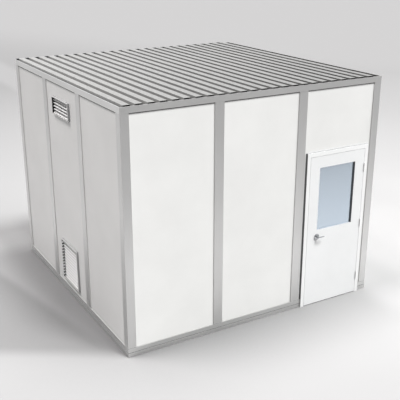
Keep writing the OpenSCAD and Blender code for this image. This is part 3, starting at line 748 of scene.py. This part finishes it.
# foam blocks that close the back ends of the flutes: a row of dark spots along the back edge of the roof,
# which also stand in for the shade there
fluteBlocks = {
    "pitch": 152.4,           # mm between flutes
    "inward": 13,             # mm from the face of the back wall
    "length": 30,
    "profile": ((-21, 2), (21, 2), (29.5, 35), (28, 37), (-28, 37), (-29.5, 35)),
    "first": ((0.5, 2), (21, 2), (29.5, 35), (28, 37), (0.5, 37)),    # in the half flute at the left
}
sheets = [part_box("roof_sheet_%d" % i) for i in (1, 2, 3, 4)]
joints = [alongFront(high.x) for low, high in sheets]
first = alongFront(sheets[0][0].x)
count = round((joints[-1] - first) / fluteBlocks["pitch"])
bm = bmesh.new()
for i in range(count):
    spot = onWall("front", first + i * fluteBlocks["pitch"], roomSide - fluteBlocks["inward"],
                  deckSeal["seat"])
    sweep(bm, fluteBlocks["profile"] if i else fluteBlocks["first"], spot,
          spot + out * fluteBlocks["length"] / 1000, run, upward)
addPiece("fluteBlocks", bm, rubberDark, "shell")

# hexagon screws with washers that hold the deck to the head rails, in the flutes
deckScrews = {
    "inward": 52,             # mm from the face of the wall to a row
    "sheet": 1.5,             # mm from the foot of a sheet to the face under the washers
    "nearJoint": 5,           # mm from a joint between two sheets, within which a flute counts as split
    "besideLap": 11,          # mm to each side of such a joint
    "sideStep": 460,          # mm between screws along the side strips
    "washer": ((7.5, 0), (7.5, 1.2), (6.9, 1.6), (0, 1.6)),
    "head": ((4.6, 1.6), (4.6, 5.4), (3.9, 6.2), (0, 6.2)),
}
deckTop = deckSeal["seat"] + deckScrews["sheet"]
spots = []
for i in range(1, count + 1):
    flute = first + i * fluteBlocks["pitch"]
    atJoint = min(abs(flute - joint) for joint in joints) < deckScrews["nearJoint"]
    offsets = (-deckScrews["besideLap"], deckScrews["besideLap"]) if atJoint else (0,)
    spots += [(flute + offset, row) for offset in offsets
              for row in (deckScrews["inward"], roomSide - deckScrews["inward"])]
steps = int((roomSide - 2 * deckScrews["inward"]) / deckScrews["sideStep"])
for i in range(1, steps + 1):
    row = deckScrews["inward"] + i * (roomSide - 2 * deckScrews["inward"]) / (steps + 1)
    spots += [(first + deckScrews["besideLap"], row), (joints[-1] + 2 * deckScrews["besideLap"], row)]
bm = bmesh.new()
for along, inward in spots:
    foot = onWall("front", along, inward, deckTop)
    lathe(bm, deckScrews["washer"], foot, upward, roundSides)
    lathe(bm, deckScrews["head"], foot, upward, hexSides)
addPiece("deckScrews", bm, screwSteel, "shell")

# countersunk screws in the hinge plates, which show when the door is open
hingeScrews = {
    "feet": (210, 1020, 1830),                  # mm over the floor, of the three hinges
    "spots": ((20, -5), (57, 6), (94, -5)),     # mm over the foot of a hinge, and behind the posts
    "head": ((4.4, 0), (4.2, 0.35), (1.7, 0.35), (1.2, 0.05), (0, 0.05)),
}
gapLeft, gapRight = alongFront(leafHigh.x), doorSpan[1] - doorSeal["jamb"]
for name, along, facing, body in (("hingeScrewsDoor", gapLeft, run, "door"),
                                  ("hingeScrewsFrame", gapRight, -run, "shell")):
    bm = bmesh.new()
    for hinge in hingeScrews["feet"]:
        for height, inward in hingeScrews["spots"]:
            lathe(bm, hingeScrews["head"], onWall("front", along, inward, hinge + height), facing, roundSides)
    addPiece(name, bm, screwSteel, body)

# the latch: a face plate on the edge of the leaf with the end of the bolt in it, a strike plate on the jamb
# with a dark mouth of painted shade, and two screws in each
latch = {
    "axis": 17,               # mm from the bottom of the lever to its axis
    "middle": 4.5,            # mm behind the posts, middle of the leaf
    "plate": (24, 165),       # mm wide and high
    "strike": (30, 124),
    "bolt": (13, 20),
    "thick": 0.8,
    "boltOut": 0.4,           # mm that the bolt and the mouth stand out of their plates
    "chamferFoot": 0.4,       # share of the thickness under the chamfer
    "screwIn": 12,            # mm from the end of a plate to its screw
    "screw": ((3.6, 0), (3.4, 0.3), (1.4, 0.3), (1.0, 0.05), (0, 0.05)),
}
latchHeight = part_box("door_lever")[0].z * 1000 + latch["axis"]


def edgePlate(bm, along, facing, size, thick):
    # a plate with chamfered edges on an upright face at a place along the front wall, level with the lever
    half, low = size[0] / 2, thick * latch["chamferFoot"]
    section = ((0, -half), (low, -half), (thick, thick - half), (thick, half - thick), (low, half), (0, half))
    foot = latchHeight - size[1] / 2
    sweep(bm, section, onWall("front", along, latch["middle"], foot),
          onWall("front", along, latch["middle"], foot + size[1]), facing, -out)


latchSides = (
    ("latchPlate", latch["plate"], "latchBolt", leverSteel, alongFront(leafLow.x), -run, "door"),
    ("strikePlate", latch["strike"], "strikeMouth", shadeFelt, doorSpan[0] + doorSeal["jamb"], run, "shell"),
)
for plate, size, inset, finish, along, facing, body in latchSides:
    bm = bmesh.new()
    edgePlate(bm, along, facing, size, latch["thick"])
    for side in (-1, 1):
        height = latchHeight + side * (size[1] / 2 - latch["screwIn"])
        foot = onWall("front", along, latch["middle"], height) + facing * latch["thick"] / 1000
        lathe(bm, latch["screw"], foot, facing, roundSides)
    addPiece(plate, bm, screwSteel, body)
    bm = bmesh.new()
    edgePlate(bm, along, facing, latch["bolt"], latch["thick"] + latch["boltOut"])
    addPiece(inset, bm, finish, body)
print("screws and latch")

# the studio: a pale floor with a painted pool of light at the right, painted shade at the foot of the walls
# and painted patches of shadow and light, under an even sky that is dim towards the front left
studio = {
    "pool": (3.6, -1.2),      # m, middle of the painted pool of light on the floor
    "reach": 17.0,            # m from there to the last of the tones
    "tones": ((0.0, "#afafaf"), (0.10, "#afafaf"), (0.24, "#a4a4a4"), (1.0, "#868686")),
    "frontFade": (-4.0, -10.0, 0.62),   # m along Y where painted shade darkens the floor towards the front, and how far
    "contact": 1.6,           # m, reach of the painted shade around the foot of the walls
    "contactShare": 0.64,
    "contactEnd": (-2.0, 5.0),   # m along X where it fades out, towards the bright right side
    "contactRight": (2.2, 1.5),         # m along X, its end beyond the right corner
    # softly edged patches of painted shadow and painted light: how far each darkens or lifts the floor, and
    # for each of its edges a direction on the floor and the two distances along it, in m, between which the
    # patch begins
    "patches": (
        (0.74, (((0.6, 1.0, 0.0), -3.05, -2.7), ((0.0, 1.0, 0.0), 2.2, 0.9), ((1.0, 0.2, 0.0), -2.22, -2.42))),
        (1.17, (((1.0, 0.5, 0.0), 13.0, 24.0),)),
        (0.91, (((1.0, 0.0, 0.0), 2.8, 3.9), ((0.0, 1.0, 0.0), -1.6, -0.5), ((1.0, 0.5, 0.0), 7.0, 5.0))),
        (1.28, (((0.0, 1.0, 0.0), 1.8, 2.4), ((0.0, 1.0, 0.0), 3.8, 2.6), ((1.0, 0.0, 0.0), -1.4, -2.0))),
        (1.12, (((1.0, 0.0, 0.0), 1.6, 2.0), ((1.0, 0.0, 0.0), 3.3, 2.7), ((0.0, 1.0, 0.0), -2.9, -2.2))),
    ),
    "bounce": "#7a7a7a",      # what the floor gives back to the walls, so that recesses stay deep
    "radius": 160.0,          # m
    "under": 0.001,           # m from the floor up to the track
    "sky": 0.32,
    "dimSide": (-0.64, -0.77, 0.0),     # towards the front left, where the studio is dark
    "dimRange": (0.2, 0.8),   # how far a direction points there, from the bright sky to the dim one
    "skyDim": 0.03,
    "mirror": 1.02,           # the sky that metal and glass reflect, and its dim side
    "mirrorDim": 0.15,
    "skyShown": "#cbcbcb",
}


def studioFloor(look=studio):
    bm = bmesh.new()
    bmesh.ops.create_circle(bm, cap_ends=True, radius=look["radius"], segments=96)
    mesh = bpy.data.meshes.new("floor")
    bm.to_mesh(mesh)
    bm.free()
    floor = bpy.data.objects.new("floor", mesh)
    scene.collection.objects.link(floor)
    floor.location.z = -look["under"]
    material, tree = newMaterial("paleFloorPaint")
    place = addNode(tree, "ShaderNodeTexCoord")
    shifted = addNode(tree, "ShaderNodeVectorMath", {1: (look["pool"][0], look["pool"][1], 0)},
                      {0: place.outputs["Object"]}, operation="SUBTRACT")
    away = addNode(tree, "ShaderNodeVectorMath", {}, {0: shifted.outputs["Vector"]}, operation="LENGTH")
    fade = addNode(tree, "ShaderNodeMath", {1: look["reach"]}, {0: away.outputs["Value"]}, operation="DIVIDE")
    # the painted pool of light: the floor darkens with distance from the pool
    tones = addNode(tree, "ShaderNodeValToRGB", {}, {"Fac": fade.outputs["Value"]})
    stops = tones.color_ramp.elements
    while len(stops) < len(look["tones"]):
        stops.new(1.0)
    for stop, (spot, paint) in zip(stops, look["tones"]):
        stop.position = spot
        stop.color = linear(paint)
    across = addNode(tree, "ShaderNodeSeparateXYZ", {}, {"Vector": place.outputs["Object"]})
    front = addNode(tree, "ShaderNodeMapRange",
                    {"From Min": look["frontFade"][0], "From Max": look["frontFade"][1],
                     "To Min": 1.0, "To Max": look["frontFade"][2]},
                    {"Value": across.outputs["Y"]}, interpolation_type="SMOOTHSTEP")
    colour = addNode(tree, "ShaderNodeVectorMath", {},
                     {0: tones.outputs["Color"], "Scale": front.outputs["Result"]}, operation="SCALE")
    # painted shadows and painted light in soft patches
    for strength, edges in look["patches"]:
        share = strength
        for direction, start, end in edges:
            along = addNode(tree, "ShaderNodeVectorMath", {1: direction}, {0: place.outputs["Object"]},
                            operation="DOT_PRODUCT")
            edge = addNode(tree, "ShaderNodeMapRange", {"From Min": start, "From Max": end, "To Min": 1.0},
                           {"Value": along.outputs["Value"]}, interpolation_type="SMOOTHSTEP")
            if share == strength:
                edge.inputs["To Max"].default_value = share
            else:
                tree.links.new(share, edge.inputs["To Max"])
            share = edge.outputs["Result"]
        colour = addNode(tree, "ShaderNodeVectorMath", {}, {0: colour.outputs["Vector"], "Scale": share},
                         operation="SCALE")
    # painted shade at the foot of the walls
    contact = addNode(tree, "ShaderNodeAmbientOcclusion", {"Distance": look["contact"]},
                      {"Color": colour.outputs["Vector"]}, samples=8)
    share = addNode(tree, "ShaderNodeMapRange",
                    {"From Min": look["contactEnd"][0], "From Max": look["contactEnd"][1],
                     "To Min": look["contactShare"], "To Max": 0.0},
                    {"Value": across.outputs["X"]}, interpolation_type="SMOOTHSTEP")
    share = addNode(tree, "ShaderNodeMapRange",
                    {"From Min": look["contactRight"][0], "From Max": look["contactRight"][1]},
                    {"Value": across.outputs["X"], "To Max": share.outputs["Result"]},
                    interpolation_type="SMOOTHSTEP")
    colour = addNode(tree, "ShaderNodeMix", {},
                     {0: share.outputs["Result"], 6: colour.outputs["Vector"], 7: contact.outputs["Color"]},
                     data_type="RGBA")
    shown = addNode(tree, "ShaderNodeBsdfDiffuse", {}, {"Color": colour.outputs[2]})
    bounce = addNode(tree, "ShaderNodeBsdfDiffuse", {"Color": linear(look["bounce"])})
    path = addNode(tree, "ShaderNodeLightPath")
    seen = addNode(tree, "ShaderNodeMath", {},
                   {0: path.outputs["Is Camera Ray"], 1: path.outputs["Is Glossy Ray"]}, operation="MAXIMUM")
    seen = addNode(tree, "ShaderNodeMath", {},
                   {0: seen.outputs["Value"], 1: path.outputs["Is Transmission Ray"]}, operation="MAXIMUM")
    both = addNode(tree, "ShaderNodeMixShader", {},
                   {0: seen.outputs["Value"], 1: bounce.outputs["BSDF"], 2: shown.outputs["BSDF"]})
    addNode(tree, "ShaderNodeOutputMaterial", {}, {"Surface": both.outputs["Shader"]})
    mesh.materials.append(material)


def studioWorld(look=studio):
    world = bpy.data.worlds.new("studio")
    scene.world = world
    world.use_nodes = True
    tree = world.node_tree
    tree.nodes.clear()
    path = addNode(tree, "ShaderNodeLightPath")
    place = addNode(tree, "ShaderNodeTexCoord")
    towards = addNode(tree, "ShaderNodeVectorMath", {1: look["dimSide"]}, {0: place.outputs["Generated"]},
                      operation="DOT_PRODUCT")
    skies = []
    for bright, dim in ((look["sky"], look["skyDim"]), (look["mirror"], look["mirrorDim"])):
        strength = addNode(tree, "ShaderNodeMapRange",
                           {"From Min": look["dimRange"][0], "From Max": look["dimRange"][1],
                            "To Min": bright, "To Max": dim},
                           {"Value": towards.outputs["Value"]}, interpolation_type="SMOOTHSTEP")
        skies.append(addNode(tree, "ShaderNodeBackground", {"Color": (1, 1, 1, 1)},
                             {"Strength": strength.outputs["Result"]}))
    shown = addNode(tree, "ShaderNodeBackground", {"Color": linear(look["skyShown"]), "Strength": 1.0})
    lit = addNode(tree, "ShaderNodeMixShader", {},
                  {0: path.outputs["Is Glossy Ray"], 1: skies[0].outputs["Background"],
                   2: skies[1].outputs["Background"]})
    seen = addNode(tree, "ShaderNodeMixShader", {},
                   {0: path.outputs["Is Camera Ray"], 1: lit.outputs["Shader"],
                    2: shown.outputs["Background"]})
    addNode(tree, "ShaderNodeOutputWorld", {}, {"Surface": seen.outputs["Shader"]})


lampAway = 12                 # m from the room; a sun lights the same from any distance
lamps = {
    # the high main light in front, which draws the soft shadows under the lever and the fascia
    "key": {"from": (0.20, -0.46, 1.0), "spread": 14, "strength": 3.45, "colour": (1.0, 1.0, 1.0)},
    # the second light on the front wall, from the right: it leaves what faces left dark
    "right": {"from": (0.82, -0.57, 0.60), "spread": 26, "strength": 1.35, "colour": (1.0, 1.0, 1.0)},
    # a weak fill for the back wall
    "back": {"from": (0.25, 0.92, 0.42), "spread": 40, "strength": 0.6, "colour": (1.0, 1.0, 1.0)},
    # the high light on the left wall, faintly warm, which picks out the louvre blades
    "left": {"from": (-0.38, 0.17, 0.98), "spread": 22, "strength": 2.9, "colour": (1.0, 0.968, 0.974)},
}


def studioLamps():
    for name, lamp in lamps.items():
        data = bpy.data.lights.new(name, "SUN")
        data.energy = lamp["strength"]
        data.color = lamp["colour"]
        data.angle = math.radians(lamp["spread"])
        obj = bpy.data.objects.new(name, data)
        scene.collection.objects.link(obj)
        obj.location = Vector(lamp["from"]) * lampAway
        obj.rotation_euler = Vector(lamp["from"]).to_track_quat("Z", "Y").to_euler()
        obj.visible_glossy = False


# the camera of the photograph, recovered from its straight edges
photoView = {
    "at": (-4.9983, -8.9481, 4.8251),
    "lookDown": 19.85,        # degrees under the horizon
    "turn": 30.11,            # degrees from +Y towards +X
    "lens": 65.52,            # mm
    "sensor": 36.0,           # mm
    "far": 500.0,             # m
}


def photoCamera(view=photoView):
    data = bpy.data.cameras.new("photoCamera")
    data.sensor_width = view["sensor"]
    data.lens = view["lens"]
    data.clip_end = view["far"]
    cam = bpy.data.objects.new("photoCamera", data)
    scene.collection.objects.link(cam)
    cam.location = view["at"]
    cam.rotation_euler = (math.radians(90 - view["lookDown"]), 0, math.radians(-view["turn"]))
    scene.camera = cam


studioFloor()
studioWorld()
studioLamps()
photoCamera()
print("floor, light and camera")
